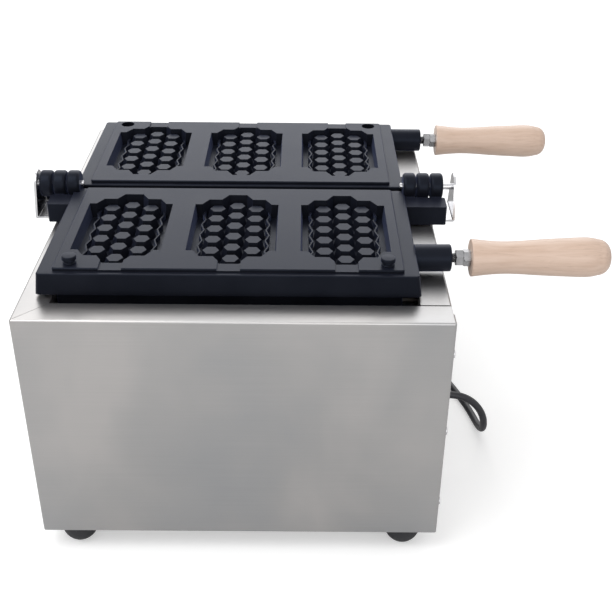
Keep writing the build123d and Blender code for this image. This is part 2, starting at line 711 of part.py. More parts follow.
def knob(y):
    """A skirted knob with a grip bar across it and a pointer line."""
    with BuildSketch(Plane.XZ) as outline:
        with BuildLine():
            foot = Polyline((0, 0), (KNOB_R, 0), (KNOB_R, 2.2), (KNOB_R - 1.5, 4.0))
            cone = Line(foot @ 1, (KNOB_R - 4.5, 7.0))
            top = Polyline(cone @ 1, (0, 7.0), (0, 0))
        make_face()
    skirt = revolve(outline.sketch, Axis.Z)
    grip = extrude(SlotOverall(2 * KNOB_R - 5, 9.5), KNOB_H)
    grip = fillet(grip.faces().sort_by(Axis.Z)[-1].edges(), 1.6)
    body = skirt + grip
    body -= Pos(KNOB_R * 0.45, 0, KNOB_H) * Box(KNOB_R, 1.2, 1.0)
    body -= Pos(0, 0, 6) * Cylinder(SHAFT_R + 0.01, 12)
    body -= Pos(0, 0, 0.4) * Cylinder(SHAFT_R + 3, 1.2)
    return Pos(PANEL_IN + DIAL_T + 0.5, y, KNOB_Z) * Rot(0, 90, 0) * Rot(0, 0, 180) * body


def control_shaft(y):
    """The shaft that a knob sits on and that turns inside its switch."""
    shaft = rod_x(PANEL_IN - 13, PANEL_IN + DIAL_T + 12.0, y, KNOB_Z, SHAFT_R)
    return shaft + rod_x(PANEL_IN - 13, PANEL_IN - 11, y, KNOB_Z, SHAFT_R + 3)


def thermostat():
    """Round bulb thermostat behind the panel, with its bush and tabs."""
    back = PANEL_IN - SHEET
    body = rod_x(back - 34, back - 6, KNOB_Y, KNOB_Z, 20)
    body = fillet(body.edges().filter_by(GeomType.CIRCLE), 1.5)
    bridge = block(back - 6, back - 4.5, KNOB_Y - 8, KNOB_Y + 8, KNOB_Z - 24, KNOB_Z + 24)
    bridge += block(back - 6, back, KNOB_Y - 8, KNOB_Y + 8, KNOB_Z - 25.5, KNOB_Z - 24)
    bridge += block(back - 6, back, KNOB_Y - 8, KNOB_Y + 8, KNOB_Z + 24, KNOB_Z + 25.5)
    tabs = [block(back - 42, back - 33, KNOB_Y + y - 3, KNOB_Y + y + 3, KNOB_Z - 0.4, KNOB_Z + 0.4) for y in (-10, 10)]
    body = body + bridge + tabs
    body -= rod_x(back - 14, back + 1, KNOB_Y, KNOB_Z, SHAFT_R + 3.3)
    return body


def thermostat_bulb():
    """The sensing bulb above the heat shield with its thin tube down to the thermostat."""
    z = RAIL_TOP - HEATER_DROP - 3
    y = 5.0
    bulb_end = PANEL_IN - 55
    drop = PANEL_IN - 12
    back = PANEL_IN - SHEET - 34
    bulb = rod_x(bulb_end - 90, bulb_end, y, z, 3.0)
    points = [Vector(bulb_end, y, z), Vector(drop, y, z), Vector(drop, y, KNOB_Z + 38),
              Vector(back - 18, y + 15, KNOB_Z + 25), Vector(back - 18, KNOB_Y - 4, KNOB_Z + 9),
              Vector(back, KNOB_Y - 4, KNOB_Z + 9)]
    path = FilletPolyline(points, radius=5.0)
    tube = sweep(Plane(points[0], z_dir=Vector(1, 0, 0)) * Circle(1.0), path)
    return bulb + tube


def timer():
    """Square wind-up timer behind the panel."""
    back = PANEL_IN - SHEET
    body = block(back - 42, back - 5, -KNOB_Y - 24, -KNOB_Y + 24, KNOB_Z - 24, KNOB_Z + 24)
    body = fillet(body.edges().filter_by(Axis.X), 5)
    body += rod_x(back - 5, back, -KNOB_Y, KNOB_Z, 9)
    tabs = [block(back - 50, back - 41, -KNOB_Y + y - 3, -KNOB_Y + y + 3, KNOB_Z - 0.4, KNOB_Z + 0.4) for y in (-12, 12)]
    body += tabs
    body -= rod_x(back - 14, back + 1, -KNOB_Y, KNOB_Z, SHAFT_R + 3.3)
    return body


def lamp(y):
    """Round signal lamp with a domed lens and its barrel behind the panel."""
    with BuildSketch(Plane.XZ) as outline:
        with BuildLine():
            rim = Polyline((0, -28), (5.2, -28), (5.2, -14), (LAMP_R, -14), (LAMP_R, 0), (8.0, 0), (8.0, 1.6), (6.6, 2.4))
            dome = ThreePointArc(rim @ 1, (4.6, 4.6), (1.2, 5.8))
            Polyline(dome @ 1, (0, 5.8), (0, -28))
        make_face()
    body = revolve(outline.sketch, Axis.Z)
    return Pos(PANEL_IN, y, LAMP_Z) * Rot(0, 90, 0) * body


def rocker_housing():
    """The switch body, snapped into the panel, with a round-bottomed well for its rocker."""
    bezel = block(PANEL_IN, PANEL_IN + 2.0, ROCKER_Y - 13, ROCKER_Y + 13, ROCKER_Z - 16, ROCKER_Z + 16)
    bezel = fillet(bezel.edges().filter_by(Axis.X), 2)
    bezel = fillet(bezel.faces().sort_by(Axis.X)[-1].edges(), 0.8)
    barrel = block(PANEL_IN - 24, PANEL_IN + 0.5, ROCKER_Y - 10.8, ROCKER_Y + 10.8, ROCKER_Z - 13.8, ROCKER_Z + 13.8)
    tabs = [block(PANEL_IN - 33, PANEL_IN - 23, ROCKER_Y - 3.2, ROCKER_Y + 3.2, ROCKER_Z + z - 0.4, ROCKER_Z + z + 0.4)
            for z in (-9, 0, 9)]
    body = bezel + barrel + tabs
    well = Pos(PANEL_IN - 1.0, ROCKER_Y, ROCKER_Z) * Rot(90, 0, 0) * Cylinder(12.3, 17.6)
    return body - well


def rocker():
    """The rocker, resting at off, bounded by an arc about its own pivot."""
    disc = Pos(PANEL_IN - 1.0, ROCKER_Y, ROCKER_Z) * Rot(90, 0, 0) * Cylinder(11.9, 17.0)
    with BuildSketch(Plane.XZ) as wedge:
        with BuildLine():
            Polyline((-6, -14), (3.2, -14), (3.2, 0), (7.2, 14), (-6, 14), close=True)
        make_face()
    prism = Pos(PANEL_IN - 1.0, ROCKER_Y + 8.5, ROCKER_Z) * extrude(wedge.sketch, 17.0)
    return disc & prism


# Mains lead


def terminal_block():
    """Screw terminals on the base plate where the lead meets the wiring."""
    floor = FOOT_H + SHEET + BASE_T
    body = block(90, 112, -96, -36, floor, floor + 16)
    ways = [block(89, 113, -96 + 4 + 14 * i, -96 + 12 + 14 * i, floor + 9, floor + 17) for i in range(4)]
    body -= ways
    screws = [rod_z(101, -88 + 14 * i, floor + 8.5, floor + 11, 2.5) for i in range(4)]
    return body + screws


def cord_gland():
    """Bush in the panel with a tapered boot along the lead."""
    with BuildSketch(Plane.XZ) as outline:
        with BuildLine():
            nut = Polyline((CORD_R, -9), (10.0, -9), (10.0, -SHEET), (8.0, -SHEET), (8.0, 0))
            rim = Polyline(nut @ 1, (11.0, 0), (11.0, 3.0), (9.2, 5.0))
            taper = Line(rim @ 1, (CORD_R + 1.3, BOOT_END))
            Polyline(taper @ 1, (CORD_R, BOOT_END), (CORD_R, -9))
        make_face()
    boot = revolve(outline.sketch, Axis.Z)
    rings = [Pos(0, 0, 8 + 4 * i) * (Cylinder(12, 1.1) - Cylinder(6.9 - 0.62 * i, 1.2)) for i in range(4)]
    boot -= rings
    return Pos(PANEL_IN, CORD_Y, CORD_Z) * Rot(0, 90, 0) * boot


def inner_lead():
    """The stretch of lead inside the body, from the bush to the terminals."""
    start = Vector(PANEL_IN + 1, CORD_Y, CORD_Z)
    points = [start, Vector(PANEL_IN - 42, CORD_Y, CORD_Z), Vector(PANEL_IN - 42, CORD_Y, 38),
              Vector(112, CORD_Y, 38)]
    path = FilletPolyline(points, radius=12.0)
    return sweep(Plane(start, z_dir=Vector(-1, 0, 0)) * Circle(CORD_R), path)


# Points of the lead from its boot down to the table and round behind the body
LEAD_ROUTE = [
    (199.0, -66.0, 74.0),
    (212.0, -66.0, 74.0),
    (226.0, -66.0, 68.4),
    (236.5, -66.0, 57.8),
    (242.8, -64.5, 44.3),
    (245.4, -59.0, 30.0),
    (246.7, -49.0, 17.5),
    (246.7, -36.0, 8.4),
    (245.5, -19.5, 3.7),
    (240.0, 7.0, 3.7),
    (230.0, 38.0, 3.7),
    (217.0, 74.0, 3.7),
    (209.0, 116.0, 3.7),
    (206.0, 162.0, 3.7),
    (205.0, 212.0, 3.7),
    (194.0, 260.0, 3.7),
    (166.0, 298.0, 3.7),
    (128.0, 322.0, 3.7),
    (90.0, 322.0, 3.7),
]


def lead_radii(points):
    """The bend radius at each inner point: 0.45 of the shorter run over the tangent of half the turn."""
    radii = []
    for before, here, after in zip(points, points[1:], points[2:]):
        into = here - before
        out = after - here
        turn = math.radians(into.get_angle(out))
        radii.append(0.45 * min(into.length, out.length) / math.tan(turn / 2))
    return radii


def power_cord():
    """The free lead from the boot to the coil."""
    points = [Vector(*p) for p in LEAD_ROUTE]
    radii = lead_radii(points)
    path = FilletPolyline(points, radius=radii)
    tube = sweep(Plane(points[0], z_dir=(points[1] - points[0])) * Circle(CORD_R), path)
    print("lead bend radii", [round(r) for r in radii], "length", round(path.length))
    print("lead volume over section times length", round(tube.volume / (math.pi * CORD_R**2 * path.length), 4))
    return tube


def coil_start():
    """The frame of the coil: its middle on the floor, X towards the end of the free lead."""
    end = Vector(*LEAD_ROUTE[-1])
    middle = Vector(end.X - COIL_LEAD_IN, end.Y - COIL_R, 0)
    return Plane(middle, x_dir=(0, 1, 0), z_dir=(0, 0, 1))


def coil_turns():
    """Half turns of the coil: radius, centre and height, spiralling in and out again."""
    turns = []
    x = COIL_R
    radius = COIL_R
    side = 1
    for count in range(9):
        climb = count == 4
        low = CORD_R if count <= 4 else CORD_R + COIL_LAYER
        turns.append((radius, x - side * radius, side, low, COIL_LAYER if climb else 0))
        x -= 2 * side * radius
        side = -side
        radius += COIL_PITCH / 2 if count >= 4 else -COIL_PITCH / 2
    return turns


def half_turn(radius, centre, side, low, climb):
    """One half turn in the coil's own frame, level or tilted to climb a layer."""
    start = (centre + side * radius, 0, low)
    middle = (centre, side * math.hypot(radius, climb / 2), low + climb / 2)
    end = (centre - side * radius, 0, low + climb)
    return ThreePointArc(start, middle, end)


def cord_coil():
    """The put-away length, wound in two layers of loops with straight ends."""
    edges = [Line((COIL_R, -COIL_LEAD_IN, CORD_R), (COIL_R, 0, CORD_R))]
    edges += [half_turn(*turn) for turn in coil_turns()]
    last = edges[-1] @ 1
    edges.append(Line(last, last + Vector(0, -COIL_TAIL, 0)))
    path = Wire([edge.edge() for edge in edges])
    tube = sweep(Plane(path @ 0, z_dir=path % 0) * Circle(CORD_R), path)
    points = [path @ (i / 1200) for i in range(1201)]
    gaps = [(a - b).length for i, a in enumerate(points) for b in points[i + 30:]]
    print("coil length", round(path.length), "least gap", round(min(gaps) - 2 * CORD_R, 2))
    print("coil volume over section times length", round(tube.volume / (math.pi * CORD_R**2 * path.length), 4))
    return coil_start().location * tube


def plug():
    """Moulded plug beside the coil, with two flat blades, an earth pin and a ribbed relief."""
    with BuildSketch(Plane.YZ) as near:
        RectangleRounded(17, 15, 5)
    with BuildSketch(Plane.YZ.offset(10)) as waist:
        RectangleRounded(25, 21, 6)
    with BuildSketch(Plane.YZ.offset(32)) as face:
        RectangleRounded(28, 2 * PLUG_HALF, 4)
    grip = loft([near.sketch, waist.sketch, face.sketch], ruled=True)
    relief = Pos(-8.5, 0, 0) * Rot(0, 90, 0) * Cone(CORD_R + 1.2, 6.8, 19)
    relief -= [Pos(-15 + 4 * i, 0, 0) * Rot(0, 90, 0) * (Cylinder(12, 1.1) - Cylinder(4.5 + 0.4 * i, 1.2)) for i in range(3)]
    blades = [Pos(32 + 8, y, 3.0) * Box(17, 1.5, 6.3) for y in (-6.35, 6.35)]
    pin = Pos(32 + 9, 0, -7.4) * Rot(0, 90, 0) * Cylinder(2.4, 19)
    body = grip + relief + blades + pin
    tail = coil_start().location * Pos(-COIL_R, -COIL_TAIL - 18, CORD_R + COIL_LAYER)
    return tail * Rot(0, 0, -90) * body


def wire(points, r=1.3):
    """One insulated wire through the given points."""
    path = FilletPolyline([Vector(*p) for p in points], radius=4.0)
    return sweep(Plane(path @ 0, z_dir=path % 0) * Circle(r), path)


def wiring():
    """Wires from the terminals through the switch, timer and thermostat to the heaters."""
    way = FOOT_H + SHEET + BASE_T + 9 + 1.3
    tip = RAIL_TOP - HEATER_DROP - 1.8
    far = HEATER_NEAR + 6 * HEATER_BEND
    timer_x = PANEL_IN - SHEET - 50
    thermo_x = PANEL_IN - SHEET - 42
    rocker_x = PANEL_IN - 33
    routes = [
        [(98.5, -88, way), (72, -88, way), (72, -20, 50), (110, ROCKER_Y, ROCKER_Z - 9), (rocker_x, ROCKER_Y, ROCKER_Z - 9)],
        [(rocker_x, ROCKER_Y, ROCKER_Z + 9), (112, ROCKER_Y, ROCKER_Z + 9), (98, 10, 110), (98, -50, KNOB_Z),
         (timer_x, -50, KNOB_Z)],
        [(timer_x, -74, KNOB_Z), (88, -74, KNOB_Z), (88, 0, 150), (100, 52, KNOB_Z), (thermo_x, 52, KNOB_Z)],
        [(thermo_x, 72, KNOB_Z), (104, 72, KNOB_Z), (104, far, 160), (165, far, 185), (165, far, tip)],
        [(98.5, -74, way), (60, -74, way), (60, -far, 120), (165, -far, 160), (165, -far, tip)],
        [(162.5, -HEATER_NEAR, tip), (162.5, -HEATER_NEAR, 190), (162.5, HEATER_NEAR, 190), (162.5, HEATER_NEAR, tip)],
        [(98.5, -46, way), (66, -46, way), (66, -46, FOOT_H + SHEET + BASE_T)],
    ]
    return Compound([wire(route) for route in routes])


os.makedirs("parts", exist_ok=True)
save("body_wrap", body_wrap())
save("control_panel", control_panel())
save("base_plate", base_plate())
save("feet", feet())
save("foot_screws", foot_screws())
save("panel_screws", panel_screws())
save("support_rails", support_rails())
save("rail_screws", rail_screws())
save("front_heater", heater(-1))
save("rear_heater", heater(1))
save("heater_clips", heater_clips())
save("heat_shield", heat_shield())
save("front_mould", front_mould())
save("rear_mould", rear_mould())
save("locating_posts", locating_posts())
save("front_hinge_rings", front_place() * hinge_rings(1))
save("rear_hinge_rings", rear_place() * hinge_rings(-1))
save("front_handle_rod", front_grip() * handle_rod())
save("rear_handle_rod", rear_grip() * handle_rod())
save("front_handle_nuts", front_grip() * handle_nuts())
save("rear_handle_nuts", rear_grip() * handle_nuts())
save("front_handle", front_grip() * handle())
save("rear_handle", rear_grip() * handle())
save("left_hinge_bracket", hinge_bracket(-1))
save("right_hinge_bracket", hinge_bracket(1))
save("left_hinge_pin", hinge_pin(-1))
save("right_hinge_pin", hinge_pin(1))
save("bracket_screws", bracket_screws())
save("thermostat_dial", dial(KNOB_Y))
save("timer_dial", dial(-KNOB_Y))
save("thermostat_knob", knob(KNOB_Y))
save("timer_knob", knob(-KNOB_Y))
save("thermostat_shaft", control_shaft(KNOB_Y))
save("timer_shaft", control_shaft(-KNOB_Y))
save("thermostat", thermostat())
save("thermostat_bulb", thermostat_bulb())
save("timer", timer())
save("heating_lamp", lamp(KNOB_Y))
save("power_lamp", lamp(-KNOB_Y))
save("rocker_housing", rocker_housing())
save("rocker", rocker())
save("terminal_block", terminal_block())
save("cord_gland", cord_gland())
save("inner_lead", inner_lead())
save("power_cord", power_cord())
save("cord_coil", cord_coil())
save("plug", plug())
save("wiring", wiring())
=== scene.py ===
import math
import bpy
from mathutils import Euler, Matrix, Vector


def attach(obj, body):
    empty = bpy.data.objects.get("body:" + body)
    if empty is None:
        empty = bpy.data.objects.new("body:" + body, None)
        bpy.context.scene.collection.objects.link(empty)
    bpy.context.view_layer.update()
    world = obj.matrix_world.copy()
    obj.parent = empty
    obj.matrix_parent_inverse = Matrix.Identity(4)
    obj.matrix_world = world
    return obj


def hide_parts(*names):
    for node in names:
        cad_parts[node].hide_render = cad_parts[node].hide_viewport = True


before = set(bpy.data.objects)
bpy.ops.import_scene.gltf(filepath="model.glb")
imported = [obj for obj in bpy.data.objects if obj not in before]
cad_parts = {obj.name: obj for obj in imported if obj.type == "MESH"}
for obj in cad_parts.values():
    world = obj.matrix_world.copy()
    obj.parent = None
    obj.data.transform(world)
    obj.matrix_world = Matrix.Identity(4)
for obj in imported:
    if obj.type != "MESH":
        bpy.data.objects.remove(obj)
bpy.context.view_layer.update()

bpy.ops.object.select_all(action="DESELECT")

# Folded body and right wall
# One sheet of brushed stainless steel makes the front, left and rear walls, and a
# second one closes the right side. The grain runs round the body, level with the table.


def node_kit(name):
    """A new material with its node tree, its surface shader and its object coordinates."""
    material = bpy.data.materials.new(name)
    material.use_nodes = True
    tree = material.node_tree
    surface = tree.nodes["Principled BSDF"]
    coordinates = tree.nodes.new("ShaderNodeTexCoord").outputs["Object"]
    return material, tree, surface, coordinates


def stretched_noise(tree, coordinates, scale, stretch, detail=3.0):
    """Noise in the piece's own coordinates, scaled apart along X, Y and Z."""
    mapping = tree.nodes.new("ShaderNodeMapping")
    mapping.inputs["Scale"].default_value = stretch
    tree.links.new(coordinates, mapping.inputs["Vector"])
    noise = tree.nodes.new("ShaderNodeTexNoise")
    noise.inputs["Scale"].default_value = scale
    noise.inputs["Detail"].default_value = detail
    tree.links.new(mapping.outputs["Vector"], noise.inputs["Vector"])
    return noise.outputs["Fac"]


def ramp(tree, value, stops):
    """A colour ramp over a value, from (place, colour) stops."""
    node = tree.nodes.new("ShaderNodeValToRGB")
    while len(node.color_ramp.elements) < len(stops):
        node.color_ramp.elements.new(0.5)
    for element, (place, colour) in zip(node.color_ramp.elements, stops):
        element.position = place
        element.color = (*colour, 1.0)
    tree.links.new(value, node.inputs["Fac"])
    return node.outputs["Color"]


def spread(tree, value, low, high):
    """A value from 0 to 1 laid out between two others."""
    node = tree.nodes.new("ShaderNodeMapRange")
    node.inputs["To Min"].default_value = low
    node.inputs["To Max"].default_value = high
    tree.links.new(value, node.inputs["Value"])
    return node.outputs["Result"]


def bump(tree, surface, height, strength, distance):
    """Fine relief from a height value."""
    node = tree.nodes.new("ShaderNodeBump")
    node.inputs["Strength"].default_value = strength
    node.inputs["Distance"].default_value = distance
    tree.links.new(height, node.inputs["Height"])
    tree.links.new(node.outputs["Normal"], surface.inputs["Normal"])


def mix_values(tree, a, b, share):
    """Blends two values or colours by a third."""
    node = tree.nodes.new("ShaderNodeMix")
    node.data_type = "RGBA"
    tree.links.new(a, node.inputs["A"])
    tree.links.new(b, node.inputs["B"])
    if isinstance(share, float):
        node.inputs["Factor"].default_value = share
    else:
        tree.links.new(share, node.inputs["Factor"])
    return node.outputs["Result"]


corner_reach = 0.00001
crisp_from = math.radians(32)


def dress(node, material):
    """Gives a CAD piece its material and rounds its shading up to its real edges."""
    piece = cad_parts[node]
    piece.data.materials.clear()
    piece.data.materials.append(material)
    for face in piece.data.polygons:
        face.use_smooth = True
    weld = piece.modifiers.new("joined corners", "WELD")
    weld.merge_threshold = corner_reach
    split = piece.modifiers.new("crisp edges", "EDGE_SPLIT")
    split.split_angle = crisp_from


def brushed_steel():
    """Brushed stainless sheet with painted cloudy reflections in its colour and a level grain."""
    material, tree, surface, coordinates = node_kit("brushed_steel")
    normal = tree.nodes.new("ShaderNodeNewGeometry").outputs["Normal"]
    split = tree.nodes.new("ShaderNodeSeparateXYZ")
    tree.links.new(normal, split.inputs["Vector"])
    sideways = tree.nodes.new("ShaderNodeMath")
    sideways.operation = "ABSOLUTE"
    tree.links.new(split.outputs["X"], sideways.inputs[0])
    along_x = stretched_noise(tree, coordinates, 60.0, (0.16, 22.0, 22.0), 6.0)
    along_y = stretched_noise(tree, coordinates, 60.0, (22.0, 0.16, 22.0), 6.0)
    grain = mix_values(tree, along_x, along_y, sideways.outputs["Value"])
    painted_reflection_clouds = stretched_noise(tree, coordinates, 8.0, (1.0, 1.0, 0.7), 3.0)
    painted_reflection_clouds.node.inputs["Distortion"].default_value = 0.3
    # Painted reflections: the sheet's colour drifts through soft cool, plain and warm clouds that
    # stand for reflected light.
    cool = (0.36, 0.365, 0.375)
    plain = (0.415, 0.408, 0.405)
    warm = (0.5, 0.48, 0.468)
    sheet = ramp(tree, painted_reflection_clouds, [(0.3, cool), (0.5, plain), (0.7, warm)])
    lines = ramp(tree, grain, [(0.25, (0.36, 0.36, 0.365)), (0.75, (0.46, 0.455, 0.455))])
    tree.links.new(mix_values(tree, sheet, lines, 0.3), surface.inputs["Base Color"])
    tree.links.new(spread(tree, grain, 0.28, 0.44), surface.inputs["Roughness"])
    surface.inputs["Metallic"].default_value = 1.0
    bump(tree, surface, grain, 0.12, 0.0002)
    return material


steel = brushed_steel()
for node in ("body_wrap", "control_panel"):
    dress(node, steel)

# Base plate, rails, heat shield, clips and foot screws
# Plain zinc-plated sheet, cut and folded: the bottom with its air slots, the three rails
# that the moulds rest on, and the tray and clips that carry the heaters.


def zinc_plate():
    """Zinc-plated sheet with the faint flowers of the plating."""
    material, tree, surface, coordinates = node_kit("zinc_plate")
    spangle = tree.nodes.new("ShaderNodeTexVoronoi")
    spangle.inputs["Scale"].default_value = 120.0
    tree.links.new(coordinates, spangle.inputs["Vector"])
    tint = ramp(tree, spangle.outputs["Color"], [(0.2, (0.42, 0.43, 0.44)), (0.8, (0.55, 0.56, 0.57))])
    tree.links.new(tint, surface.inputs["Base Color"])
    tree.links.new(spread(tree, spangle.outputs["Distance"], 0.32, 0.5), surface.inputs["Roughness"])
    surface.inputs["Metallic"].default_value = 1.0
    return material


zinc = zinc_plate()
for node in ("base_plate", "support_rails", "heat_shield", "heater_clips", "foot_screws"):
    dress(node, zinc)

# Heaters
# One bent tube heater lies under each mould, held down by clips. Its steel sheath is
# tinted brown and blue by the first heating.


def heater_sheath():
    """Steel sheath with heat tint along its length."""
    material, tree, surface, coordinates = node_kit("heater_sheath")
    tint = stretched_noise(tree, coordinates, 14.0, (1.0, 1.0, 1.0), 3.0)
    brown = (0.16, 0.12, 0.09)
    grey = (0.22, 0.2, 0.19)
    blue = (0.14, 0.15, 0.2)
    colour = ramp(tree, tint, [(0.3, brown), (0.55, grey), (0.8, blue)])
    tree.links.new(colour, surface.inputs["Base Color"])
    surface.inputs["Metallic"].default_value = 0.9
    surface.inputs["Roughness"].default_value = 0.45
    return material


sheath = heater_sheath()
for node in ("front_heater", "rear_heater"):
    dress(node, sheath)

# Feet
# Four domed feet of black rubber carry the body. Each is moulded in one and screwed to
# the base plate through its middle.


def moulded_rubber(name, colour, roughness):
    """Rubber or soft plastic with a fine moulded skin."""
    material, tree, surface, coordinates = node_kit(name)
    skin = stretched_noise(tree, coordinates, 900.0, (1.0, 1.0, 1.0), 2.0)
    dust = stretched_noise(tree, coordinates, 60.0, (1.0, 1.0, 1.0), 4.0)
    darker = tuple(0.7 * part for part in colour)
    tree.links.new(ramp(tree, dust, [(0.35, darker), (0.7, colour)]), surface.inputs["Base Color"])
    tree.links.new(spread(tree, dust, roughness - 0.06, roughness + 0.08), surface.inputs["Roughness"])
    bump(tree, surface, skin, 0.12, 0.0002)
    return material


foot_rubber = moulded_rubber("foot_rubber", (0.014, 0.014, 0.018), 0.5)
dress("feet", foot_rubber)

# Moulds
# Two cast plates with their hinge rings and two turned posts, milled flat on the land and
# coated with a dark non-stick finish that shows the fine grain of the casting.


def mould_coating(name, low, high):
    """Dark non-stick coating over a fine cast grain, worn a little round at its edges."""
    material, tree, surface, coordinates = node_kit(name)
    grain = stretched_noise(tree, coordinates, 1100.0, (1.0, 1.0, 1.0), 2.0)
    wear = stretched_noise(tree, coordinates, 26.0, (1.0, 1.0, 1.0), 5.0)
    tree.links.new(ramp(tree, wear, [(0.35, low), (0.7, high)]), surface.inputs["Base Color"])
    tree.links.new(spread(tree, wear, 0.3, 0.42), surface.inputs["Roughness"])
    surface.inputs["IOR"].default_value = 1.24
    surface.inputs["Specular Tint"].default_value = (0.55, 0.68, 1.0, 1.0)
    surface.inputs["Sheen Weight"].default_value = 0.14
    surface.inputs["Sheen Roughness"].default_value = 0.4
    surface.inputs["Sheen Tint"].default_value = (0.42, 0.52, 1.0, 1.0)
    bump(tree, surface, grain, 0.25, 0.00025)
    rounding = tree.nodes.new("ShaderNodeBevel")
    rounding.samples = 4
    rounding.inputs["Radius"].default_value = 0.0005
    relief = surface.inputs["Normal"].links[0].from_node
    tree.links.new(rounding.outputs["Normal"], relief.inputs["Normal"])
    return material


coating = mould_coating("mould_coating", (0.0045, 0.0048, 0.0066), (0.008, 0.0085, 0.0115))
for node in ("front_mould", "rear_mould", "front_hinge_rings", "rear_hinge_rings", "locating_posts"):
    dress(node, coating)

# Hinge brackets, pins, shafts, rods, nuts and screws
# Bent polished strip and bright plated bar: all of it turned, threaded or pressed
# from plain steel and plated. The thermostat's bulb has the same bright finish.


def bright_steel(name, low, high, roughness):
    """Polished or plated steel with light handling marks."""
    material, tree, surface, coordinates = node_kit(name)
    marks = stretched_noise(tree, coordinates, 90.0, (1.0, 1.0, 1.0), 5.0)
    tree.links.new(ramp(tree, marks, [(0.3, low), (0.7, high)]), surface.inputs["Base Color"])
    tree.links.new(spread(tree, marks, roughness, roughness + 0.14), surface.inputs["Roughness"])
    surface.inputs["Metallic"].default_value = 1.0
    return material


plated = bright_steel("plated_steel", (0.5, 0.5, 0.52), (0.66, 0.66, 0.67), 0.16)
rod_steel = bright_steel("rod_steel", (0.3, 0.3, 0.31), (0.42, 0.42, 0.43), 0.2)
for node in (
    "left_hinge_bracket",
    "right_hinge_bracket",
    "left_hinge_pin",
    "right_hinge_pin",
    "bracket_screws",
    "panel_screws",
    "rail_screws",
    "thermostat_bulb",
    "thermostat_shaft",
    "timer_shaft",
):
    dress(node, plated)
for node in ("front_handle_nuts", "rear_handle_nuts"):
    dress(node, rod_steel)


thread_pitch = 0.00125
wave_at_scale_one = 0.314


def threaded_steel():
    """Plated rod with a rolled thread along X, with painted shade in the thread's grooves."""
    material, tree, surface, coordinates = node_kit("threaded_steel")
    thread = tree.nodes.new("ShaderNodeTexWave")
    thread.bands_direction = "X"
    thread.inputs["Scale"].default_value = wave_at_scale_one / thread_pitch
    tree.links.new(coordinates, thread.inputs["Vector"])
    # Painted shade: the thread's grooves are coloured darker, following the same waves as its relief.
    tint = ramp(tree, thread.outputs["Fac"], [(0.1, (0.12, 0.12, 0.125)), (0.8, (0.42, 0.42, 0.43))])
    tree.links.new(tint, surface.inputs["Base Color"])
    surface.inputs["Metallic"].default_value = 1.0
    surface.inputs["Roughness"].default_value = 0.26
    bump(tree, surface, thread.outputs["Fac"], 0.8, 0.0006)
    return material


thread = threaded_steel()
for node in ("front_handle_rod", "rear_handle_rod"):
    dress(node, thread)

# Handles
# Two grips turned from beech and finished with a thin clear lacquer. The grain runs along
# the handle, and each is screwed onto its threaded rod.


def turned_beech(name, pale, warm):
    """Beech with grain along X, short dark flecks and a thin lacquer."""
    material, tree, surface, coordinates = node_kit(name)
    grain = stretched_noise(tree, coordinates, 70.0, (0.35, 4.0, 4.0), 5.0)
    grain.node.inputs["Distortion"].default_value = 0.8
    fleck = stretched_noise(tree, coordinates, 260.0, (0.25, 3.0, 3.0), 2.0)
    darker = tuple(0.74 * part for part in warm)
    wood = ramp(tree, grain, [(0.3, warm), (0.65, pale)])
    flecks = ramp(tree, fleck, [(0.3, darker), (0.42, pale)])
    tree.links.new(mix_values(tree, wood, flecks, 0.25), surface.inputs["Base Color"])
    tree.links.new(spread(tree, grain, 0.36, 0.5), surface.inputs["Roughness"])
    surface.inputs["Coat Weight"].default_value = 0.25
    surface.inputs["Coat Roughness"].default_value = 0.25
    bump(tree, surface, grain, 0.08, 0.0003)
    return material


beech = turned_beech("beech", (0.68, 0.51, 0.41), (0.58, 0.41, 0.31))
for node in ("front_handle", "rear_handle"):
    dress(node, beech)

# Controls
# On the right wall: two moulded black knobs on printed metal dials, two lamps with tinted
# lenses and a rocker switch. Behind it: thermostat, timer, terminal block and wiring.

black_plastic = moulded_rubber("black_plastic", (0.02, 0.02, 0.021), 0.38)
for node in ("thermostat_knob", "timer_knob", "timer", "rocker_housing", "rocker"):
    dress(node, black_plastic)
white_plastic = moulded_rubber("white_plastic", (0.72, 0.7, 0.66), 0.4)
for node in ("thermostat", "terminal_block"):
    dress(node, white_plastic)
dial_metal = bright_steel("dial_metal", (0.6, 0.6, 0.61), (0.7, 0.7, 0.71), 0.34)
for node in ("thermostat_dial", "timer_dial"):
    dress(node, dial_metal)
sleeve = moulded_rubber("wire_sleeve", (0.62, 0.58, 0.5), 0.6)
dress("wiring", sleeve)


def lens(name, colour):
    """Tinted lens of a signal lamp."""
    material, tree, surface, coordinates = node_kit(name)
    cells = tree.nodes.new("ShaderNodeTexVoronoi")
    cells.inputs["Scale"].default_value = 700.0
    tree.links.new(coordinates, cells.inputs["Vector"])
    darker = tuple(0.75 * part for part in colour)
    tint = ramp(tree, cells.outputs["Distance"], [(0.0, colour), (0.8, darker)])
    tree.links.new(tint, surface.inputs["Base Color"])
    surface.inputs["Roughness"].default_value = 0.14
    surface.inputs["Coat Weight"].default_value = 0.5
    bump(tree, surface, cells.outputs["Distance"], 0.2, 0.0004)
    return material


dial_face = 0.1202
knob_height = 0.140
mark_lift = 0.0001
mark_radius = 0.0247
mark_size = (0.0004, 0.0010, 0.0036)
mark_bevel = 0.0001
print_black = moulded_rubber("dial_print", (0.02, 0.02, 0.022), 0.5)


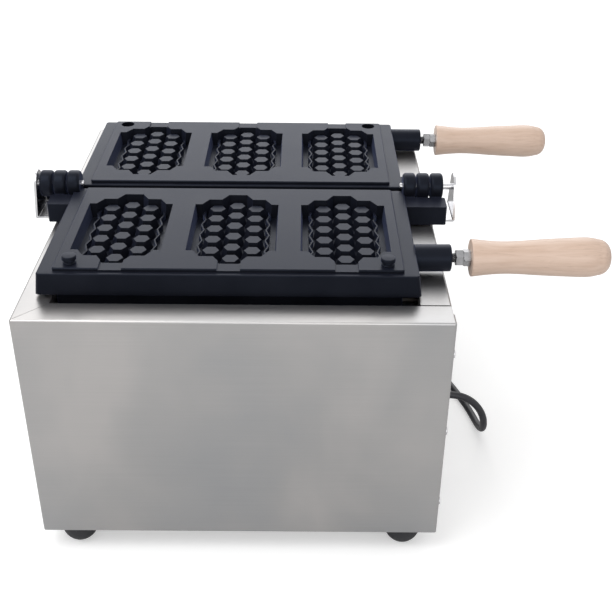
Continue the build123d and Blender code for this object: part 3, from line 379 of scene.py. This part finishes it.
def dial_marks(name, dial_y, first, step, count):
    """Printed marks round a dial: one is modelled, the rest are copies turned about the knob."""
    centre = Vector((dial_face, dial_y, knob_height))
    marks = []
    for place in range(count):
        bpy.ops.object.select_all(action="DESELECT")
        if not marks:
            place_above = (dial_face + mark_lift, dial_y, knob_height + mark_radius)
            bpy.ops.mesh.primitive_cube_add(size=1.0, location=place_above)
            mark = bpy.context.active_object
            mark.scale = mark_size
            bpy.ops.object.transform_apply(location=True, rotation=False, scale=True)
            for face in mark.data.polygons:
                face.select = face.normal.x > 0.9
            bpy.ops.object.mode_set(mode="EDIT")
            bpy.ops.mesh.bevel(offset=mark_bevel, segments=1)
            bpy.ops.object.mode_set(mode="OBJECT")
            mark.data.materials.append(print_black)
            pattern = mark.data.copy()
        else:
            mark = bpy.data.objects.new(name, pattern.copy())
            bpy.context.scene.collection.objects.link(mark)
        turn = Matrix.Rotation(-math.radians(first + place * step), 4, "X")
        mark.data.transform(Matrix.Translation(centre) @ turn @ Matrix.Translation(-centre))
        marks.append(mark)
    bpy.ops.object.select_all(action="DESELECT")
    for mark in marks:
        mark.select_set(True)
    bpy.context.view_layer.objects.active = marks[0]
    bpy.ops.object.join()
    marks[0].name = name
    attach(marks[0], "housing")


dial_marks("thermostat_marks", dial_y=0.062, first=-135, step=27, count=11)
dial_marks("timer_marks", dial_y=-0.062, first=-150, step=20, count=16)

amber = (0.85, 0.35, 0.03)
red = (0.65, 0.02, 0.02)
dress("heating_lamp", lens("amber_lens", amber))
dress("power_lamp", lens("red_lens", red))

# Mains lead
# A round rubber lead leaves a ribbed boot in the right wall, drops to the table and
# runs behind the body, where the rest of it is wound up beside its plug.

lead_rubber = moulded_rubber("lead_rubber", (0.016, 0.016, 0.022), 0.42)
for node in ("cord_gland", "inner_lead", "plug"):
    dress(node, lead_rubber)

middle_x = -0.0596
lead_diameter = 0.0074
lead_points = [
    (0.1990, -0.0660, 0.0740),
    (0.2120, -0.0660, 0.0740),
    (0.2260, -0.0660, 0.0684),
    (0.2365, -0.0660, 0.0578),
    (0.2428, -0.0645, 0.0443),
    (0.2454, -0.0590, 0.0300),
    (0.2467, -0.0490, 0.0175),
    (0.2467, -0.0360, 0.0084),
    (0.2455, -0.0195, 0.0037),
    (0.2400, 0.0070, 0.0037),
    (0.2300, 0.0380, 0.0037),
    (0.2170, 0.0740, 0.0037),
    (0.2090, 0.1160, 0.0037),
    (0.2060, 0.1620, 0.0037),
    (0.2050, 0.2120, 0.0037),
    (0.1940, 0.2600, 0.0037),
    (0.1660, 0.2980, 0.0037),
    (0.1280, 0.3220, 0.0037),
    (0.0900, 0.3220, 0.0037),
]


def lead_curve(name, points):
    """One smooth round lead through a list of control points."""
    curve = bpy.data.curves.new(name, "CURVE")
    curve.dimensions = "3D"
    curve.bevel_depth = lead_diameter / 2
    curve.bevel_resolution = 6
    curve.resolution_u = 8
    curve.use_fill_caps = True
    spline = curve.splines.new("NURBS")
    spline.points.add(len(points) - 1)
    for place, point in zip(spline.points, points):
        place.co = (point[0] + middle_x, point[1], point[2], 1.0)
    spline.order_u = 3
    spline.use_endpoint_u = True
    spline.use_smooth = True
    piece = bpy.data.objects.new(name, curve)
    bpy.context.scene.collection.objects.link(piece)
    curve.materials.append(lead_rubber)
    return piece


def wound_points():
    """The coil's line: half turns that spiral in, climb a layer and spiral out again."""
    pitch = 0.0083
    layer = 0.0080
    lead_in = 0.0080
    tail = 0.0260
    outer = 0.0480
    end = lead_points[-1]
    centre_x = end[0] - lead_in
    centre_y = end[1] - outer
    steps = 8
    half_turns = 9
    climb = 4
    local = []
    place = outer
    radius = outer
    side = 1
    for count in range(half_turns):
        middle = place - side * radius
        low = end[2] if count <= climb else end[2] + layer
        for step in range(steps):
            turn = math.pi * (step + 0.5) / steps
            reach = radius / math.cos(math.pi / steps / 2)
            rise = layer * (1 - math.cos(turn)) / 2 if count == climb else 0
            along = middle + side * reach * math.cos(turn)
            across = side * reach * math.sin(turn)
            local.append((along, across, low + rise))
        place -= 2 * side * radius
        side = -side
        radius += pitch / 2 if count >= climb else -pitch / 2
    local.append((place, -tail * 0.5, local[-1][2]))
    local.append((place, -tail, local[-1][2]))
    return [(centre_x - y, centre_y + x, z) for x, y, z in local]


lead = lead_curve("mains_lead", lead_points + wound_points())
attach(lead, "housing")
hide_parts("power_cord", "cord_coil")

# Table, lamps and camera
# A white table in white surroundings, lit by three soft lamps: one above to the left, one
# in front and one behind. The camera has the photograph's own view.

table_glow = 0.4
room_as_light = 0.55
room_as_backdrop = 1.0


def white_table():
    """White table that keeps the shadow and shows white to the camera."""
    material, tree, surface = node_kit("white_table")[:3]
    surface.inputs["Base Color"].default_value = (0.8, 0.8, 0.8, 1.0)
    surface.inputs["Roughness"].default_value = 1.0
    surface.inputs["Specular IOR Level"].default_value = 0.0
    path = tree.nodes.new("ShaderNodeLightPath")
    glow = tree.nodes.new("ShaderNodeMath")
    glow.operation = "MULTIPLY"
    glow.inputs[1].default_value = table_glow
    tree.links.new(path.outputs["Is Camera Ray"], glow.inputs[0])
    surface.inputs["Emission Color"].default_value = (1.0, 1.0, 1.0, 1.0)
    tree.links.new(glow.outputs["Value"], surface.inputs["Emission Strength"])
    return material


bpy.ops.mesh.primitive_plane_add(size=14.0, location=(0, 0, 0))
table = bpy.context.active_object
table.name = "table"
table.data.materials.append(white_table())


def white_room():
    """Even white surroundings, dimmer as light than as a backdrop."""
    world = bpy.data.worlds.new("white_room")
    bpy.context.scene.world = world
    world.use_nodes = True
    tree = world.node_tree
    background = tree.nodes["Background"]
    background.inputs["Color"].default_value = (1.0, 1.0, 1.0, 1.0)
    path = tree.nodes.new("ShaderNodeLightPath")
    seen = tree.nodes.new("ShaderNodeMath")
    seen.operation = "MAXIMUM"
    tree.links.new(path.outputs["Is Camera Ray"], seen.inputs[0])
    tree.links.new(path.outputs["Is Glossy Ray"], seen.inputs[1])
    seen_through = tree.nodes.new("ShaderNodeMath")
    seen_through.operation = "MAXIMUM"
    tree.links.new(seen.outputs["Value"], seen_through.inputs[0])
    tree.links.new(path.outputs["Is Transmission Ray"], seen_through.inputs[1])
    level = tree.nodes.new("ShaderNodeMapRange")
    level.inputs["To Min"].default_value = room_as_light
    level.inputs["To Max"].default_value = room_as_backdrop
    tree.links.new(seen_through.outputs["Value"], level.inputs["Value"])
    tree.links.new(level.outputs["Result"], background.inputs["Strength"])


white_room()


def soft_lamp(name, place, aim, size, watts):
    """A square soft box that looks at a point."""
    data = bpy.data.lights.new(name, "AREA")
    data.size = size
    data.energy = watts
    lamp = bpy.data.objects.new(name, data)
    bpy.context.scene.collection.objects.link(lamp)
    lamp.location = place
    lamp.rotation_euler = (Vector(aim) - Vector(place)).to_track_quat("-Z", "Y").to_euler()


soft_lamp("over_left", place=(-0.9, -0.6, 1.7), aim=(0, 0, 0.15), size=1.4, watts=17.0)
soft_lamp("front", place=(0.3, -2.0, 0.9), aim=(0, 0, 0.15), size=1.2, watts=8.0)
soft_lamp("back", place=(0.0, 2.3, 1.9), aim=(0, 0, 0.2), size=2.6, watts=31.0)

camera_place = (-0.0042, -0.8866, 0.6741)
camera_tilt = math.radians(58.8235)
camera_heading = math.radians(-0.2476)
camera_roll = math.radians(0.5705)
camera_data = bpy.data.cameras.new("photo_view")
camera_data.lens = 58.78
camera_data.sensor_width = 36.0
camera = bpy.data.objects.new("photo_view", camera_data)
bpy.context.scene.collection.objects.link(camera)
facing = Euler((camera_tilt, 0, camera_heading)).to_matrix()
facing = facing @ Matrix.Rotation(camera_roll, 3, "Z")
camera.matrix_world = Matrix.Translation(camera_place) @ facing.to_4x4()
bpy.context.scene.camera = camera
bpy.context.scene.view_settings.view_transform = "Standard"
